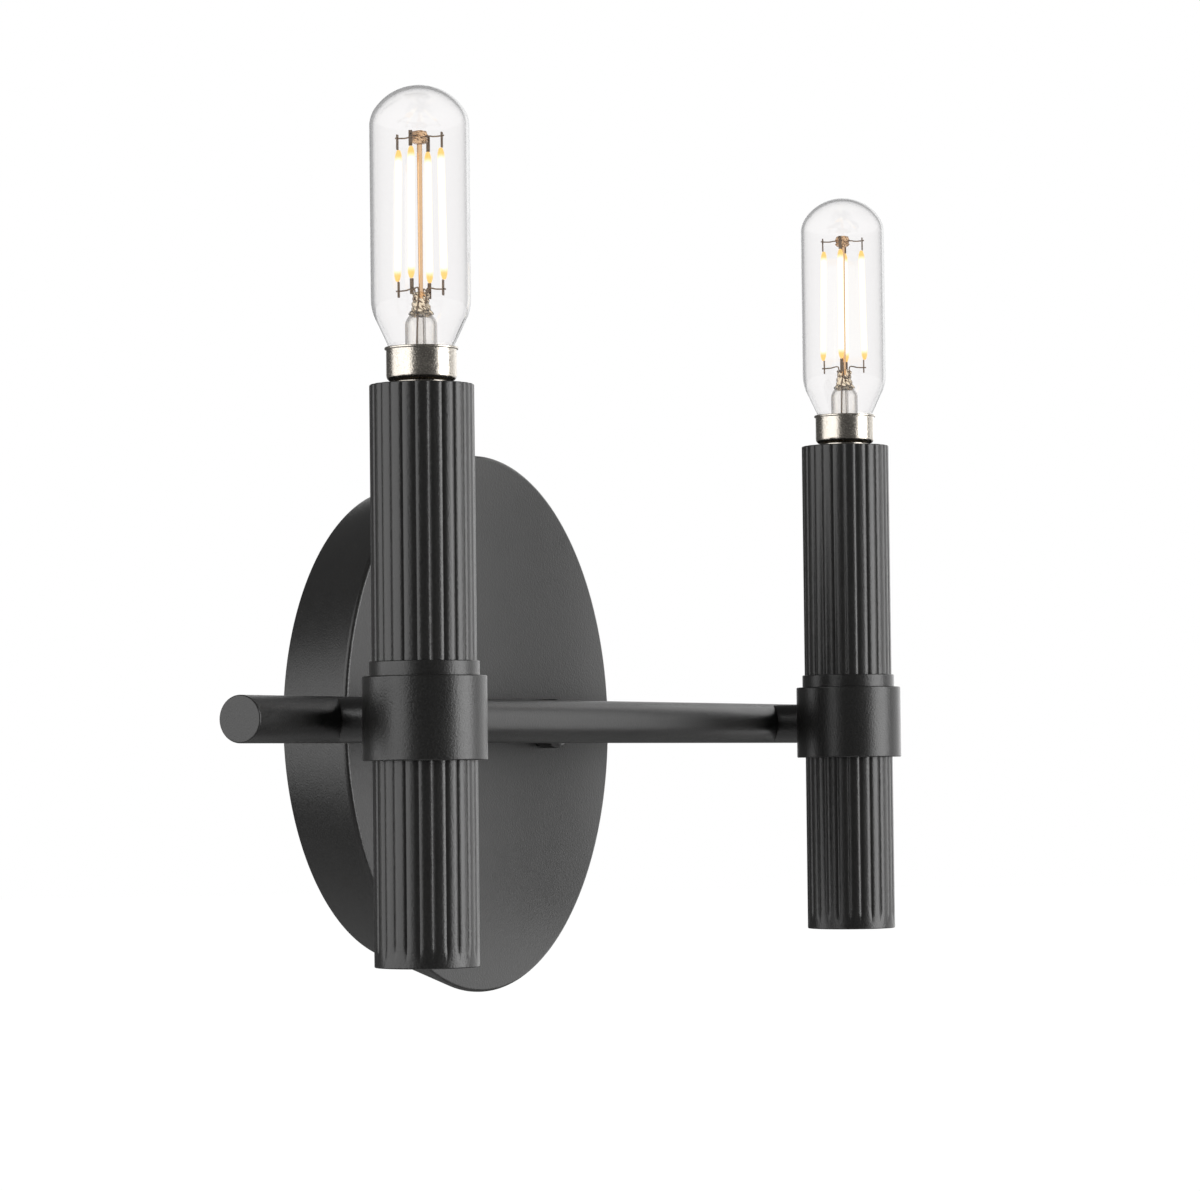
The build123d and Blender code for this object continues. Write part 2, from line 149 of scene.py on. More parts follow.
def grainedMaterial(name, look):
    # colour, roughness and bump that follow the shared grain; look holds this finish's own values
    material, tree, shader = blankMaterial(name)
    grain = addNode(tree, "ShaderNodeGroup", node_tree=fineGrain)
    grain.inputs["Grain Size"].default_value = look["grainSize"]
    grain.inputs["Mottle Size"].default_value = look["mottleSize"]
    speck = spread(tree, grain.outputs["Grain"], *noiseSpan)
    cloud = spread(tree, grain.outputs["Mottle"], *noiseSpan)
    clouded = calc(tree, "MULTIPLY", cloud, 1 - look["speckShare"])
    tone = calc(tree, "MULTIPLY_ADD", speck, look["speckShare"], clouded)
    feed(tree, shader.inputs["Base Color"], blendColour(tree, tone, look["dark"], look["light"]))
    feed(tree, shader.inputs["Roughness"], spread(tree, tone, 0, 1, look["smooth"], look["rough"]))
    shader.inputs["Metallic"].default_value = look.get("metal", 0.0)
    bump = addNode(tree, "ShaderNodeBump")
    bump.inputs["Strength"].default_value = look["bump"]
    bump.inputs["Distance"].default_value = look["bumpDepth"]
    tree.links.new(grain.outputs["Grain"], bump.inputs["Height"])
    tree.links.new(bump.outputs["Normal"], shader.inputs["Normal"])
    return material


grainedLooks = {
    "black_paint": dict(dark=rgb(0.009, 0.0088, 0.0085), light=rgb(0.018, 0.0177, 0.0172),
                        grainSize=0.42 * mm, mottleSize=9 * mm, speckShare=0.8, smooth=0.28, rough=0.38,
                        bump=1.0, bumpDepth=0.05 * mm),
    "zinc_steel": dict(dark=rgb(0.48, 0.48, 0.47), light=rgb(0.62, 0.62, 0.61), grainSize=0.25 * mm,
                       mottleSize=2.5 * mm, speckShare=0.6, smooth=0.24, rough=0.42, bump=0.12,
                       bumpDepth=0.02 * mm, metal=1.0),
    "ground_green": dict(dark=rgb(0.02, 0.15, 0.04), light=rgb(0.05, 0.27, 0.08), grainSize=0.3 * mm,
                         mottleSize=2 * mm, speckShare=0.4, smooth=0.28, rough=0.45, bump=0.1,
                         bumpDepth=0.02 * mm, metal=0.7),
    "washer_nylon": dict(dark=rgb(0.02, 0.02, 0.02), light=rgb(0.035, 0.035, 0.035), grainSize=0.4 * mm,
                         mottleSize=4 * mm, speckShare=0.5, smooth=0.4, rough=0.55, bump=0.1,
                         bumpDepth=0.02 * mm),
    "socket_phenolic": dict(dark=rgb(0.022, 0.018, 0.015), light=rgb(0.04, 0.034, 0.03), grainSize=0.5 * mm,
                            mottleSize=6 * mm, speckShare=0.5, smooth=0.35, rough=0.5, bump=0.1,
                            bumpDepth=0.02 * mm),
    "socket_brass": dict(dark=rgb(0.55, 0.38, 0.13), light=rgb(0.78, 0.58, 0.26), grainSize=0.3 * mm,
                         mottleSize=4 * mm, speckShare=0.3, smooth=0.22, rough=0.38, bump=0.08,
                         bumpDepth=0.02 * mm, metal=1.0),
    "base_nickel": dict(dark=rgb(0.33, 0.305, 0.27), light=rgb(0.58, 0.54, 0.48), grainSize=0.32 * mm,
                        mottleSize=3 * mm, speckShare=0.8, smooth=0.18, rough=0.30, bump=1.0,
                        bumpDepth=0.03 * mm, metal=1.0),
    "base_insulator": dict(dark=rgb(0.012, 0.012, 0.014), light=rgb(0.02, 0.02, 0.024), grainSize=0.6 * mm,
                           mottleSize=4 * mm, speckShare=0.3, smooth=0.08, rough=0.16, bump=0.05,
                           bumpDepth=0.02 * mm),
    "tip_solder": dict(dark=rgb(0.42, 0.42, 0.43), light=rgb(0.66, 0.66, 0.67), grainSize=0.5 * mm,
                       mottleSize=2 * mm, speckShare=0.5, smooth=0.3, rough=0.5, bump=0.3,
                       bumpDepth=0.04 * mm, metal=1.0),
    "driver_board": dict(dark=rgb(0.60, 0.60, 0.55), light=rgb(0.74, 0.74, 0.70), grainSize=0.3 * mm,
                         mottleSize=3 * mm, speckShare=0.4, smooth=0.4, rough=0.55, bump=0.1,
                         bumpDepth=0.02 * mm),
    "lead_wire": dict(dark=rgb(0.17, 0.12, 0.082), light=rgb(0.40, 0.30, 0.215), grainSize=0.4 * mm,
                      mottleSize=2 * mm, speckShare=0.5, smooth=0.25, rough=0.45, bump=0.1,
                      bumpDepth=0.02 * mm, metal=1.0),
}
materials = {slot: grainedMaterial(slot + "_finish", look) for slot, look in grainedLooks.items()}


glassIndex = 1.48  # how strongly the glass bends light
# clear is the colour through the glass; rim is a painted shade colour for the outline, where the wall is seen
# edge on
glassLooks = {
    # the slight warmth in the envelope's and stem's clear colours is painted light, for the filaments' warm
    # glow inside the bulb
    "bulb_clear_glass": dict(clear=rgb(0.999, 0.992, 0.992), rim=rgb(0.62, 0.63, 0.65), shadedRimStart=0.52),
    "stem_clear_glass": dict(clear=rgb(0.985, 0.975, 0.96), rim=rgb(0.05, 0.035, 0.025), shadedRimStart=0.2),
    # painted light: the amber clear colours of the press, hub and rod stand for the filaments' warm glow on
    # that glass
    "glow_tinted_press_glass": dict(clear=rgb(0.97, 0.82, 0.60), rim=rgb(0.16, 0.06, 0.02), shadedRimStart=0.25),
    "glow_tinted_glass": dict(clear=rgb(0.82, 0.54, 0.31), rim=rgb(0.24, 0.08, 0.02), shadedRimStart=0.12),
}


def glassMaterial(name, look):
    # clear glass with a painted shade rim: its colour darkens where the wall is seen edge on, standing in for
    # the glass's dark outlines
    material, tree, shader = blankMaterial(name)
    facing = addNode(tree, "ShaderNodeLayerWeight")
    # painted shade: the colour turns from clear to rim as the wall turns edge on
    edge = spread(tree, facing.outputs["Facing"], look["shadedRimStart"], 1.0, smooth=True)
    feed(tree, shader.inputs["Base Color"], blendColour(tree, edge, look["clear"], look["rim"]))
    shader.inputs["Transmission Weight"].default_value = 1.0
    shader.inputs["Roughness"].default_value = 0.0
    shader.inputs["IOR"].default_value = glassIndex
    return material


for slot, look in glassLooks.items():
    materials[slot] = glassMaterial(slot + "_finish", look)


# Mesh helpers

holdReach = 1.25   # a rounding's holding points sit this many reaches from its corner
onAxis = 1e-7      # a smaller radius counts as the axis itself
crispAngle = 35    # degrees; steeper edges stay crisp on metal
softAngle = 60     # the same for glass, filaments and threads
wireShape = dict(order=3, stepsPerPoint=8, roundSteps=3)


def rowsBetween(low, high, count):
    return [low + (high - low) * k / count for k in range(count + 1)]


def roundedOutline(corners, steps=6, closed=True):
    # corners are (radius, height, rounding); a rounded one becomes an arc with a holding point on each side
    points = []
    for i, (radius, height, rounding) in enumerate(corners):
        corner = Vector((radius, height))
        if rounding == 0 or (not closed and i in (0, len(corners) - 1)):
            points.append(corner)
            continue
        back = (Vector(corners[i - 1][:2]) - corner).normalized()
        ahead = (Vector(corners[(i + 1) % len(corners)][:2]) - corner).normalized()
        half = back.angle(ahead) / 2
        reach = rounding / math.tan(half)
        centre = corner + (back + ahead).normalized() * rounding / math.sin(half)
        first = corner + back * reach - centre
        last = corner + ahead * reach - centre
        points.append(corner + back * reach * holdReach)
        points += [centre + first.slerp(last, k / steps).normalized() * rounding for k in range(steps + 1)]
        points.append(corner + ahead * reach * holdReach)
    return points


def turnedMesh(name, outline, segments, closed=True):
    # spins (radius, height) points about Z; a closed outline is the section of a ring
    shape = bmesh.new()
    rings = []
    for radius, height in outline:
        if radius < onAxis:
            rings.append([shape.verts.new((0, 0, height))])
            continue
        steps = [math.tau * i / segments for i in range(segments)]
        rings.append([shape.verts.new((radius * math.cos(a), radius * math.sin(a), height)) for a in steps])
    pairs = list(zip(rings, rings[1:]))
    if closed:
        pairs.append((rings[-1], rings[0]))
    for low, high in pairs:
        for i in range(segments):
            j = (i + 1) % segments
            corners = (low[i % len(low)], low[j % len(low)], high[j % len(high)], high[i % len(high)])
            corners = list(dict.fromkeys(corners))
            if len(corners) > 2:
                shape.faces.new(corners)
    bmesh.ops.recalc_face_normals(shape, faces=shape.faces)
    mesh = bpy.data.meshes.new(name)
    shape.to_mesh(mesh)
    shape.free()
    return mesh


def boxMesh(low, high, bevelShare):
    shape = bmesh.new()
    bmesh.ops.create_cube(shape, size=1.0)
    size = [h - l for l, h in zip(low, high)]
    middle = [(h + l) / 2 for l, h in zip(low, high)]
    bmesh.ops.scale(shape, verts=shape.verts, vec=size)
    bmesh.ops.translate(shape, verts=shape.verts, vec=middle)
    bmesh.ops.bevel(shape, geom=shape.edges[:], offset=min(size) * bevelShare, segments=2, affect="EDGES")
    mesh = bpy.data.meshes.new("box")
    shape.to_mesh(mesh)
    shape.free()
    return mesh


def addObject(name, data):
    made = bpy.data.objects.new(name, data)
    scene.collection.objects.link(made)
    return made


def addPiece(name, mesh, slot, body, replaced=(), sharpAngle=crispAngle, finish=None):
    mesh.shade_smooth()
    mesh.set_sharp_from_angle(angle=math.radians(sharpAngle))
    piece = addObject(name, mesh)
    mesh.materials.clear()
    mesh.materials.append(materials[finish or slot])
    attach(piece, body)
    if replaced:
        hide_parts(*replaced)


def plainMesh(worker):
    # the object's finished shape as a mesh of its own
    graph = bpy.context.evaluated_depsgraph_get()
    return bpy.data.meshes.new_from_object(worker.evaluated_get(graph), depsgraph=graph)


def bakeNodes(mesh, tree, values):
    # runs a geometry node tree on a mesh and gives back the plain result
    worker = addObject("worker", mesh)
    modifier = worker.modifiers.new(tree.name, "NODES")
    modifier.node_group = tree
    for item in tree.interface.items_tree:
        if item.in_out == "INPUT" and item.name in values:
            modifier[item.identifier] = values[item.name]
    made = plainMesh(worker)
    worker.modifiers.remove(modifier)
    bpy.data.objects.remove(worker)
    return made


def wireMesh(name, path, radius):
    # a round wire along a smooth path
    curve = bpy.data.curves.new(name, "CURVE")
    curve.dimensions = "3D"
    curve.bevel_depth = radius
    curve.bevel_resolution = wireShape["roundSteps"]
    curve.use_fill_caps = True
    spline = curve.splines.new("NURBS")
    spline.points.add(len(path) - 1)
    for point, place in zip(spline.points, path):
        point.co = (*place, 1.0)
    spline.order_u = wireShape["order"]
    spline.use_endpoint_u = True
    spline.resolution_u = wireShape["stepsPerPoint"]
    worker = addObject(name, curve)
    mesh = plainMesh(worker)
    bpy.data.objects.remove(worker)
    return mesh


def joined(name, meshes):
    shape = bmesh.new()
    for mesh in meshes:
        shape.from_mesh(mesh)
    made = bpy.data.meshes.new(name)
    shape.to_mesh(made)
    shape.free()
    return made


def centreOf(node):
    low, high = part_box(node)
    return (low + high) / 2


def overAxis(node):
    # carries a piece made about Z to the node's own upright axis
    centre = centreOf(node)
    return Matrix.Translation((centre.x, centre.y, 0))


# Geometry node trees

def emptyTree(name, sockets):
    tree = bpy.data.node_groups.new(name, "GeometryNodeTree")
    tree.interface.new_socket("Geometry", in_out="INPUT", socket_type="NodeSocketGeometry")
    for socketName, kind in sockets:
        tree.interface.new_socket(socketName, in_out="INPUT", socket_type=kind)
    tree.interface.new_socket("Material", in_out="INPUT", socket_type="NodeSocketMaterial")
    tree.interface.new_socket("Geometry", in_out="OUTPUT", socket_type="NodeSocketGeometry")
    given = addNode(tree, "NodeGroupInput")
    return tree, given.outputs


def endTree(tree, geometry, material):
    realize = addNode(tree, "GeometryNodeRealizeInstances")
    paint = addNode(tree, "GeometryNodeSetMaterial")
    result = addNode(tree, "NodeGroupOutput")
    tree.links.new(geometry, realize.inputs["Geometry"])
    tree.links.new(realize.outputs["Geometry"], paint.inputs["Geometry"])
    tree.links.new(material, paint.inputs["Material"])
    tree.links.new(paint.outputs["Geometry"], result.inputs["Geometry"])


def polarPosition(tree):
    # the point's radius, its angle about Z, and x, y, z
    split = addNode(tree, "ShaderNodeSeparateXYZ")
    tree.links.new(addNode(tree, "GeometryNodeInputPosition").outputs[0], split.inputs[0])
    x, y, z = split.outputs
    squares = calc(tree, "MULTIPLY_ADD", x, x, calc(tree, "MULTIPLY", y, y))
    return calc(tree, "SQRT", squares), calc(tree, "ARCTAN2", y, x), x, y, z


def moveToRadius(tree, geometry, newRadius, radius, x, y, z):
    scale = calc(tree, "DIVIDE", newRadius, calc(tree, "MAXIMUM", radius, onAxis))
    place = addNode(tree, "ShaderNodeCombineXYZ")
    feed(tree, place.inputs["X"], calc(tree, "MULTIPLY", x, scale))
    feed(tree, place.inputs["Y"], calc(tree, "MULTIPLY", y, scale))
    feed(tree, place.inputs["Z"], z)
    move = addNode(tree, "GeometryNodeSetPosition")
    tree.links.new(geometry, move.inputs["Geometry"])
    tree.links.new(place.outputs[0], move.inputs["Position"])
    return move.outputs["Geometry"]


def reedTree():
    # presses rounded reeds into a plain tube's outside and lets them run out near one end
    sizes = ("Reed Depth", "Flatness", "Crest Radius", "Bore Radius", "End Radius", "Fade Bottom",
             "Fade Height")
    tree, given = emptyTree("reeds", [("Reeds", "NodeSocketInt")] + [(s, "NodeSocketFloat") for s in sizes])
    radius, angle, x, y, z = polarPosition(tree)
    turns = calc(tree, "DIVIDE", angle, math.tau)
    acrossReed = calc(tree, "FRACT", calc(tree, "MULTIPLY", turns, given["Reeds"]))
    fromCrest = calc(tree, "ABSOLUTE", calc(tree, "MULTIPLY_ADD", acrossReed, 2.0, -1.0))
    drop = calc(tree, "MULTIPLY", calc(tree, "POWER", fromCrest, given["Flatness"]), given["Reed Depth"])
    outside = spread(tree, radius, given["Bore Radius"], given["Crest Radius"])
    reeded = calc(tree, "SUBTRACT", radius, calc(tree, "MULTIPLY", drop, outside))
    rise = calc(tree, "DIVIDE", calc(tree, "SUBTRACT", z, given["Fade Bottom"]), given["Fade Height"])
    share = spread(tree, rise, 0.0, 1.0, smooth=True)
    plain = calc(tree, "MINIMUM", radius, given["End Radius"])
    wall = calc(tree, "MULTIPLY_ADD", share, calc(tree, "SUBTRACT", reeded, plain), plain)
    endTree(tree, moveToRadius(tree, given["Geometry"], wall, radius, x, y, z), given["Material"])
    return tree


def threadTree():
    # rolls a right-hand thread into the rows of a plain wall between two heights
    sizes = ("Pitch", "Depth", "Start", "End", "Run Out")
    tree, given = emptyTree("thread", [(s, "NodeSocketFloat") for s in sizes])
    radius, angle, x, y, z = polarPosition(tree)
    climb = calc(tree, "MULTIPLY", calc(tree, "DIVIDE", z, given["Pitch"]), math.tau)
    phase = calc(tree, "SUBTRACT", climb, angle)
    groove = calc(tree, "MULTIPLY_ADD", calc(tree, "COSINE", phase), -0.5, 0.5)
    begun = spread(tree, calc(tree, "SUBTRACT", z, given["Start"]), 0.0, given["Run Out"], smooth=True)
    left = spread(tree, calc(tree, "SUBTRACT", given["End"], z), 0.0, given["Run Out"], smooth=True)
    deep = calc(tree, "MULTIPLY", groove, given["Depth"])
    cut = calc(tree, "MULTIPLY", deep, calc(tree, "MULTIPLY", begun, left))
    wall = calc(tree, "SUBTRACT", radius, cut)
    endTree(tree, moveToRadius(tree, given["Geometry"], wall, radius, x, y, z), given["Material"])
    return tree


def ringTree():
    # sets copies of one piece evenly round Z
    tree, given = emptyTree("ringOfCopies", [("Count", "NodeSocketInt"), ("Turn", "NodeSocketFloat")])
    line = addNode(tree, "GeometryNodeMeshLine")
    tree.links.new(given["Count"], line.inputs["Count"])
    line.inputs["Offset"].default_value = (0, 0, 0)
    index = addNode(tree, "GeometryNodeInputIndex").outputs[0]
    step = calc(tree, "DIVIDE", math.tau, given["Count"])
    turn = addNode(tree, "ShaderNodeCombineXYZ")
    tree.links.new(calc(tree, "MULTIPLY_ADD", index, step, given["Turn"]), turn.inputs["Z"])
    copies = addNode(tree, "GeometryNodeInstanceOnPoints")
    tree.links.new(line.outputs["Mesh"], copies.inputs["Points"])
    tree.links.new(given["Geometry"], copies.inputs["Instance"])
    tree.links.new(turn.outputs[0], copies.inputs["Rotation"])
    endTree(tree, copies.outputs["Instances"], given["Material"])
    return tree


reeds = reedTree()
thread = threadTree()
ringOfCopies = ringTree()
print("finishes and node trees made:", len(materials), "finishes")


# Canopy

canopy = dict(backRadius=56.3 * mm, wall=1.2 * mm, edgeBand=1.1 * mm, edgeRounding=0.8 * mm,
              sideRounding=0.2 * mm, rimRounding=0.3 * mm, insideRounding=0.6 * mm, nippleHole=4.05 * mm,
              studHole=2.45 * mm, studBand=6 * mm, cutBelow=3.6 * mm, cutAbove=1.2 * mm, holeTurn=0.4,
              holeSegments=48, segments=256)


def makeCanopy():
    low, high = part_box("canopy")
    front, depth, wall = high.x, -low.y, canopy["wall"]
    back, hole, under = canopy["backRadius"], canopy["nippleHole"], depth - wall
    studX = centreOf("right_cap_nut").x
    bandIn, bandOut = studX - canopy["studBand"], studX + canopy["studBand"]
    section = roundedOutline([
        (hole, depth, 0),
        (bandIn, depth, 0),
        (bandOut, depth, 0),
        (front, depth, canopy["edgeRounding"]),
        (front, depth - canopy["edgeBand"], canopy["sideRounding"]),
        (back, 0, canopy["rimRounding"]),
        (back - wall, 0, canopy["rimRounding"]),
        (front - wall, under, canopy["insideRounding"]),
        (bandOut, under, 0),
        (bandIn, under, 0),
        (hole, under, 0),
    ])
    pan = addObject("pan", turnedMesh("canopy", section, canopy["segments"]))
    radius, below, above = canopy["studHole"], depth - canopy["cutBelow"], depth + canopy["cutAbove"]
    outline = [(0, below), (radius, below), (radius, above), (0, above)]
    # turned by part of a step, so that the cut's corners stay off the pan's edges
    turn = Matrix.Rotation(canopy["holeTurn"] * math.tau / canopy["holeSegments"], 4, "Z")
    cutters = []
    for x in (studX, -studX):
        plug = turnedMesh("plug", outline, canopy["holeSegments"], closed=False)
        plug.transform(Matrix.Translation((x, 0, 0)) @ turn)
        cutters.append(addObject("cutter", plug))
        pan.modifiers.new("hole", "BOOLEAN").object = cutters[-1]
    made = plainMesh(pan)
    for worker in [pan] + cutters:
        bpy.data.objects.remove(worker)
    made.transform(outFromWall)
    addPiece("canopy_pan", made, "black_paint", "fixture", ["canopy"])


makeCanopy()
print("canopy made")


# Cross bar and its closed ends

bar = dict(wall=1.2 * mm, capEdge=0.3 * mm, segments=96)


def makeBar():
    low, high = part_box("cross_bar")
    middle = centreOf("cross_bar")
    place = Matrix.Translation((0, middle.y, middle.z))
    radius = (high.z - low.z) / 2
    bore = radius - bar["wall"]
    section = [(radius, low.x), (radius, high.x), (bore, high.x), (bore, low.x)]
    tube = turnedMesh("bar", section, bar["segments"])
    tube.transform(place @ alongBar)
    addPiece("cross_bar_tube", tube, "black_paint", "fixture", ["cross_bar"])
    for hand in hands:
        capLow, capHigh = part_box(f"{hand}_bar_cap")
        plugEnd, outer = sorted((abs(capLow.x), abs(capHigh.x)))
        disc = roundedOutline([
            (0, plugEnd, 0),
            (bore, plugEnd, 0),
            (bore, high.x, 0),
            (radius, high.x, 0),
            (radius, outer, bar["capEdge"]),
            (0, outer, 0),
        ], closed=False)
        cap = turnedMesh("cap", disc, bar["segments"], closed=False)
        cap.transform(place @ (alongBar if hand == "right" else aboutFace @ alongBar))
        addPiece(f"{hand}_bar_end", cap, "black_paint", "fixture", [f"{hand}_bar_cap"])


makeBar()
print("bar made")


# Reeded tubes and the rings between tube and collar

reededTube = dict(reeds=24, reedDepth=0.28 * mm, flatness=3.0, wall=1.04 * mm, rimRounding=0.25 * mm,
                  plainEnd=0.8 * mm, fadeHeight=4.4 * mm, fadeReach=4.84 * mm, fadeRows=16,
                  endInset=0.02 * mm, floor=2.0 * mm, facetsPerReed=18, sharpAngle=28)
ring = dict(edgeRounding=0.24 * mm, innerRounding=0.12 * mm, gap=0.05 * mm, segments=128)


def makeReededTube(hand, which):
    node = f"{hand}_{which}_tube"
    low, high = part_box(node)
    crest = (high.x - low.x) / 2
    bore = crest - reededTube["reedDepth"] - reededTube["wall"]
    endRadius = crest - reededTube["endInset"]
    rim = reededTube["rimRounding"]
    hollow = which == "upper"
    if hollow:
        fadeBottom = low.z - 2 * reededTube["fadeHeight"]  # below the tube: no fade
        corners = [(bore, low.z, 0), (crest, low.z, rim), (crest, high.z, rim), (bore, high.z, rim)]
    else:
        fadeBottom = low.z + reededTube["plainEnd"]
        floorTop = low.z + reededTube["floor"]
        rows = rowsBetween(fadeBottom, fadeBottom + reededTube["fadeReach"], reededTube["fadeRows"])
        corners = [(0, low.z, 0), (endRadius, low.z, rim), (endRadius, fadeBottom, 0)]
        corners += [(crest, z, 0) for z in rows[1:]]
        corners += [(crest, high.z, 0), (bore, high.z, 0), (bore, floorTop, 0), (0, floorTop, 0)]
    facets = reededTube["reeds"] * reededTube["facetsPerReed"]
    plain = turnedMesh(node, roundedOutline(corners, closed=hollow), facets, closed=hollow)
    mesh = bakeNodes(plain, reeds, {
        "Reeds": reededTube["reeds"],
        "Reed Depth": reededTube["reedDepth"],
        "Flatness": reededTube["flatness"],
        "Crest Radius": crest,
        "Bore Radius": bore,
        "End Radius": endRadius,
        "Fade Bottom": fadeBottom,
        "Fade Height": reededTube["fadeHeight"],
        "Material": materials["black_paint"],
    })
    halfReed = Matrix.Rotation(math.pi / reededTube["reeds"], 4, "Z")
    mesh.transform(overAxis(node) @ halfReed)
    addPiece(f"{node}_reeded", mesh, "black_paint", "fixture", [node], reededTube["sharpAngle"])


def makeRing(hand):
    node = f"{hand}_ring"
    low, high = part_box(node)
    tubeLow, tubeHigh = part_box(f"{hand}_upper_tube")
    outer = (high.x - low.x) / 2
    inner = (tubeHigh.x - tubeLow.x) / 2 + ring["gap"]
    section = roundedOutline([
        (inner, low.z, 0),
        (outer, low.z, 0),
        (outer, high.z, ring["edgeRounding"]),
        (inner, high.z, ring["innerRounding"]),
    ])
    mesh = turnedMesh(node, section, ring["segments"])
    mesh.transform(overAxis(node))
    addPiece(f"{node}_trim", mesh, "black_paint", "fixture", [node])


for hand in hands:
    makeReededTube(hand, "upper")
    makeReededTube(hand, "lower")
    makeRing(hand)
print("reeded tubes made")


# Bulb base: a plain skirt over the screw shell

bulbBase = dict(skirtRadius=7.45 * mm, skirtHeight=7.2 * mm, skirtEdge=1.2 * mm, lipHeight=0.5 * mm,
                lipEdge=0.16 * mm, seamEdge=0.08 * mm, shellRadius=5.8 * mm, shellEdge=0.1 * mm,
                wall=0.4 * mm, shellRows=84, rowsStop=0.3 * mm, pitch=2.54 * mm, threadDepth=0.45 * mm,
                threadFrom=0.3 * mm, threadStop=0.5 * mm, runOut=1.4 * mm, segments=96)


def makeBulbBase(hand):
    node = f"{hand}_bulb_base"
    low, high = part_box(node)
    skirt, shell, wall = bulbBase["skirtRadius"], bulbBase["shellRadius"], bulbBase["wall"]
    lip, edge, seam = (high.x - low.x) / 2, bulbBase["lipEdge"], bulbBase["seamEdge"]
    skirtBottom = high.z - bulbBase["skirtHeight"]
    lipBottom = high.z - bulbBase["lipHeight"]
    rows = rowsBetween(low.z, skirtBottom - bulbBase["rowsStop"], bulbBase["shellRows"])
    corners = [(shell, z, 0) for z in rows]
    corners += [
        (shell, skirtBottom, bulbBase["shellEdge"]),
        (skirt, skirtBottom, bulbBase["skirtEdge"]),
        (skirt, lipBottom, seam),
        (lip, lipBottom, edge),
        (lip, high.z, edge),
        (skirt - wall, high.z, seam),
        (skirt - wall, skirtBottom + wall, bulbBase["skirtEdge"] - wall),
        (shell - wall, skirtBottom + wall, 0),
    ]
    corners += [(shell - wall, z, 0) for z in reversed(rows)]
    plain = turnedMesh(node, roundedOutline(corners), bulbBase["segments"])
    mesh = bakeNodes(plain, thread, {
        "Pitch": bulbBase["pitch"],
        "Depth": bulbBase["threadDepth"],
        "Start": low.z + bulbBase["threadFrom"],
        "End": skirtBottom - bulbBase["threadStop"],
        "Run Out": bulbBase["runOut"],
        "Material": materials["base_nickel"],
    })
    mesh.transform(overAxis(node))
    addPiece(f"{node}_screw", mesh, "base_nickel", f"{hand}_bulb", [node])
    return high.z


# Bulb envelope

envelope = dict(wall=0.7 * mm, neck=7.0 * mm, neckRise=0.3 * mm, neckRounding=3 * mm, shoulder=8.0 * mm,
                shoulderRounding=11 * mm, cornerRadius=6.6 * mm, crownRise=2.1 * mm, wallSteps=16,
                domeSteps=24, segments=192)


def wallPoints(inset, side, foot, skirtTop, base):
    # the envelope's neck, shoulder and side, a given distance inside its outer face
    neck = envelope["neck"] - inset
    return roundedOutline([
        (neck, foot, 0),
        (neck, skirtTop + envelope["neckRise"], envelope["neckRounding"]),
        (side - inset, skirtTop + envelope["shoulder"], envelope["shoulderRounding"]),
        (side - inset, base, 0),
    ], envelope["wallSteps"], closed=False)[:-1]


def domePoints(side, base, corner, rise):
    # a corner arc that runs into a flatter crown
    inset = side - corner
    crown = (inset**2 + 2 * corner * rise + rise**2) / (2 * rise)
    crownZ = base + corner + rise - crown
    bend = math.atan2(base - crownZ, inset)
    angles = rowsBetween(0, bend, envelope["domeSteps"])
    points = [(inset + corner * math.cos(a), base + corner * math.sin(a)) for a in angles]
    angles = rowsBetween(bend, math.pi / 2, envelope["domeSteps"])[1:-1]
    points += [(crown * math.cos(a), crownZ + crown * math.sin(a)) for a in angles]
    return points + [(0, crownZ + crown)]


def makeEnvelope(hand, skirtTop):
    node = f"{hand}_bulb_glass"
    low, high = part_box(node)
    side, wall = (high.x - low.x) / 2, envelope["wall"]
    corner, rise = envelope["cornerRadius"], envelope["crownRise"]
    base = high.z - corner - rise
    outer = wallPoints(0, side, low.z, skirtTop, base) + domePoints(side, base, corner, rise)
    inner = wallPoints(wall, side, low.z, skirtTop, base)
    inner += domePoints(side - wall, base, corner - wall, rise)
    mesh = turnedMesh("envelope", outer + inner[::-1], envelope["segments"])
    mesh.transform(overAxis(node))
    addPiece(f"{hand}_bulb_envelope", mesh, "bulb_clear_glass", f"{hand}_bulb", [node], softAngle)


# Bulb wires

# paths are (out from the axis, up) in millimetres; up is from the arms' height or from the skirt's top
leads = dict(count=4, turn=dict(left=8.5, right=18.0), ringRadius=5.05 * mm, postWidth=0.8 * mm,
             postThickness=0.3 * mm, postLength=3.3 * mm, postBevel=0.2, wireRadius=0.16 * mm,
             feedRadius=0.192 * mm, hubRise=1.0 * mm, armRise=2.54 * mm,
             armPath=((0.4, 0), (2.2, 0.1), (3.4, -0.25), (5.55, 0)),
             wirePath=((0.875, 9.5), (1.3125, 11.4), (1.4, 12.6), (2.625, 12.4), (3.535, 12.1), (5.65, 12.1)),
             feedPath=((1.9, -1.5), (1.7, 3.0), (1.3, 7.8), (0.8, 10.2)))


def pathFrom(height, points, side=1):
    return [(side * out * mm, 0, height + up * mm) for out, up in points]


def ringOf(one, hand, finish):
    return bakeNodes(one, ringOfCopies, {
        "Count": leads["count"],
        "Turn": math.radians(leads["turn"][hand]),
        "Material": materials[finish],
    })


